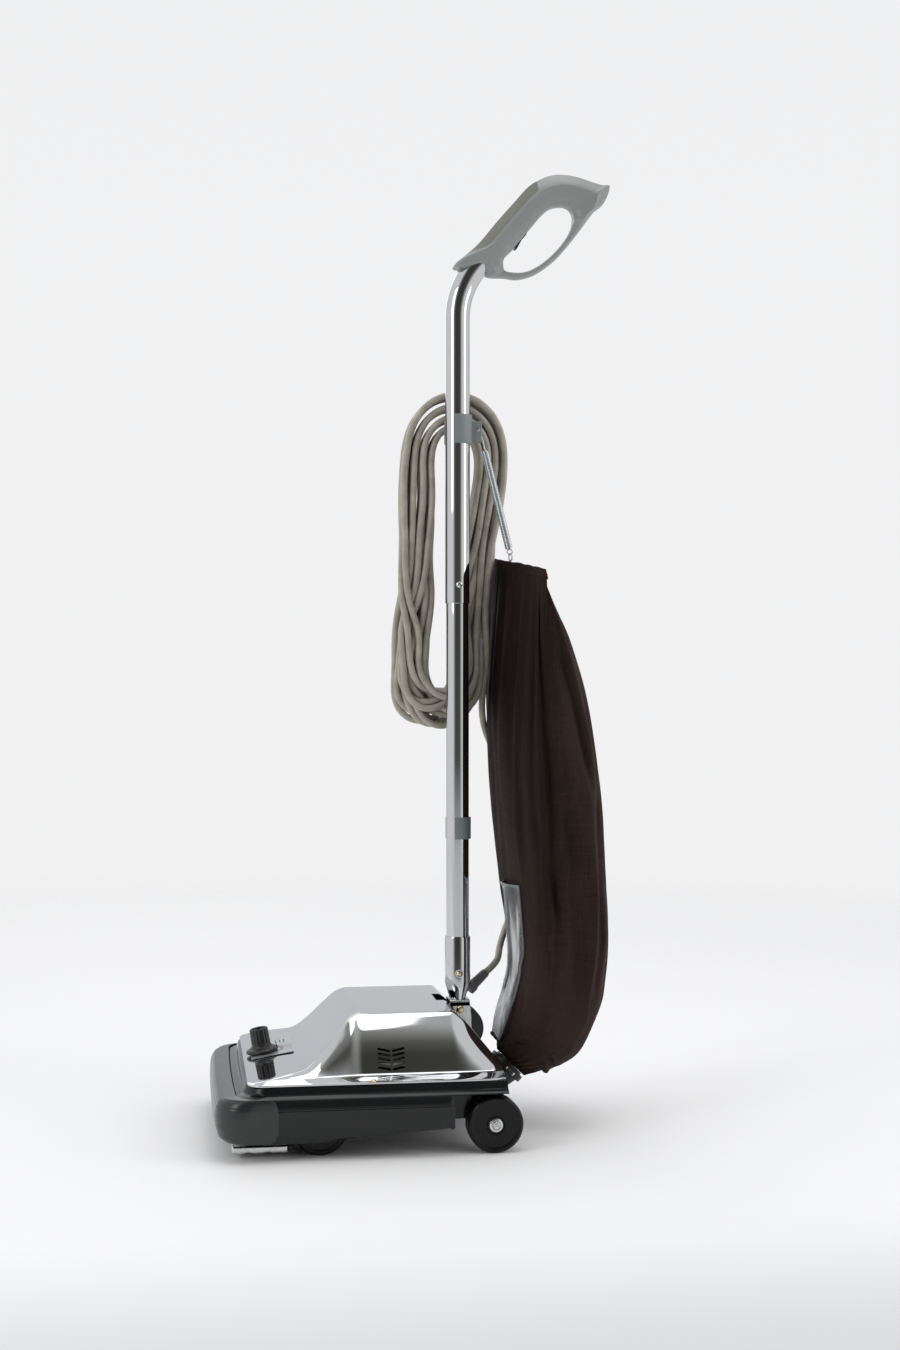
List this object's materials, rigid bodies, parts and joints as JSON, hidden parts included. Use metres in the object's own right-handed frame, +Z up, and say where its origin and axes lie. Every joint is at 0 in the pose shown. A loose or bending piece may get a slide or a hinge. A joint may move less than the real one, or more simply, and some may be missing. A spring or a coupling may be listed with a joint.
{
  "type": "upright vacuum cleaner",
  "caption": "Upright vacuum cleaner with a low wheeled base under a plated hood, a reclining bent tube handle with a D-shaped grip, and a cloth dust bag hung on a spring.",
  "frame": {"origin": "on the floor, under the middle of the whole object", "axes": "+Z up, -Y forward towards the nozzle, +X to the left of a user who stands behind the cleaner and faces the nozzle"},
  "size_m": [0.3512, 0.5054, 1.185],
  "materials": {
    "chrome": "bright plated",
    "zinc": "zinc plated",
    "steel": "plain steel",
    "housing_plastic": "dark grey, moulded, slightly glossy",
    "black_plastic": "black, moulded",
    "wheel_plastic": "black, hard",
    "rubber": "matt black",
    "grey_plastic": "mid grey, moulded",
    "grip_insert": "fine grained",
    "cord_jacket": "warm grey jacket",
    "cloth": "close woven, dark brown",
    "clear_vinyl": "clear, flexible",
    "copper_winding": "lacquered winding",
    "carbon": "carbon block",
    "brass": "plated screw"
  },
  "bodies": {
    "base": {"base_housing": "housing_plastic", "front_bumper": "housing_plastic", "hood": "chrome", "hood_screw_left": "brass", "hood_screw_right": "brass", "bottom_plate": "zinc", "rear_lip": "rubber", "brush_end_cap_left": "black_plastic", "brush_end_cap_right": "black_plastic", "motor_field": "steel", "motor_case": "steel", "motor_bell": "steel", "carbon_brush_left": "carbon", "carbon_brush_right": "carbon", "fan_housing": "black_plastic", "exhaust_duct": "black_plastic", "drive_belt": "rubber", "carriage_pin": "steel", "rear_axle": "steel", "wheel_screw_left": "zinc", "wheel_screw_right": "zinc", "height_plate": "zinc", "pivot_block": "black_plastic", "pivot_pin": "steel", "bag_outlet": "black_plastic", "bag_clamp": "black_plastic"},
    "rotor": {"motor_shaft": "steel", "motor_armature": "copper_winding", "fan": "grey_plastic"},
    "brush": {"brush_roll": "black_plastic"},
    "carriage": {"wheel_carriage": "steel", "front_axle": "steel"},
    "wheel_front_left": {"front_wheel_left": "wheel_plastic"},
    "wheel_front_right": {"front_wheel_right": "wheel_plastic"},
    "wheel_rear_left": {"rear_wheel_left": "wheel_plastic"},
    "wheel_rear_right": {"rear_wheel_right": "wheel_plastic"},
    "knob": {"height_knob": "black_plastic", "height_cam": "steel"},
    "handle": {"handle_fork": "zinc", "handle_socket": "chrome", "socket_screw": "brass", "lower_tube": "chrome", "upper_tube": "chrome", "tube_screw": "zinc", "lower_cord_clip": "grey_plastic", "upper_clip": "grey_plastic", "cord_hook": "grey_plastic", "bag_spring": "zinc", "bag": "cloth", "bag_window": "clear_vinyl", "grip_shell_left": "grey_plastic", "grip_shell_right": "grey_plastic", "grip_insert": "grip_insert", "switch_body": "black_plastic", "strain_relief": "rubber", "cord_run": "cord_jacket", "cord_hank": "cord_jacket", "cord_tail": "cord_jacket", "plug": "rubber"},
    "rocker": {"switch_rocker": "black_plastic"}
  },
  "joints": [
    {"name": "handle_recline", "type": "hinge", "parent": "base", "child": "handle", "pos_m": [0, 0.056, 0.118], "axis": [-1, 0, 0], "range_deg": [0, 65], "deforming": ["bag", "bag_window"]},
    {"name": "rear_wheel_left_spin", "type": "hinge", "parent": "base", "child": "wheel_rear_left", "pos_m": [0.1505, 0.074, 0.033], "axis": [1, 0, 0], "continuous": true},
    {"name": "rear_wheel_right_spin", "type": "hinge", "parent": "base", "child": "wheel_rear_right", "pos_m": [-0.1505, 0.074, 0.033], "axis": [1, 0, 0], "continuous": true},
    {"name": "knob_turn", "type": "hinge", "parent": "base", "child": "knob", "pos_m": [-0.005, -0.189, 0.0913], "axis": [0, 0.1692, -0.9856], "range_deg": [0, 150]},
    {"name": "carriage_tilt", "type": "hinge", "parent": "base", "child": "carriage", "pos_m": [0, -0.077, 0.036], "axis": [1, 0, 0], "range_deg": [0, 6]},
    {"name": "front_wheel_left_spin", "type": "hinge", "parent": "carriage", "child": "wheel_front_left", "pos_m": [0.133, -0.129, 0.032], "axis": [1, 0, 0], "continuous": true},
    {"name": "front_wheel_right_spin", "type": "hinge", "parent": "carriage", "child": "wheel_front_right", "pos_m": [-0.133, -0.129, 0.032], "axis": [1, 0, 0], "continuous": true},
    {"name": "motor_spin", "type": "hinge", "parent": "base", "child": "rotor", "pos_m": [0, -0.06, 0.084], "axis": [0, 1, 0], "continuous": true},
    {"name": "brush_spin", "type": "hinge", "parent": "base", "child": "brush", "pos_m": [0, -0.199, 0.027], "axis": [1, 0, 0], "continuous": true},
    {"name": "rocker_tilt", "type": "hinge", "parent": "handle", "child": "rocker", "pos_m": [0, 0.1297, 1.1024], "axis": [-1, 0, 0], "range_deg": [0, 12]}
  ],
  "couplings": [
    {"joint": "carriage_tilt", "follows": "knob_turn", "ratio": 0.04},
    {"joint": "brush_spin", "follows": "motor_spin", "ratio": 0.42}
  ]
}
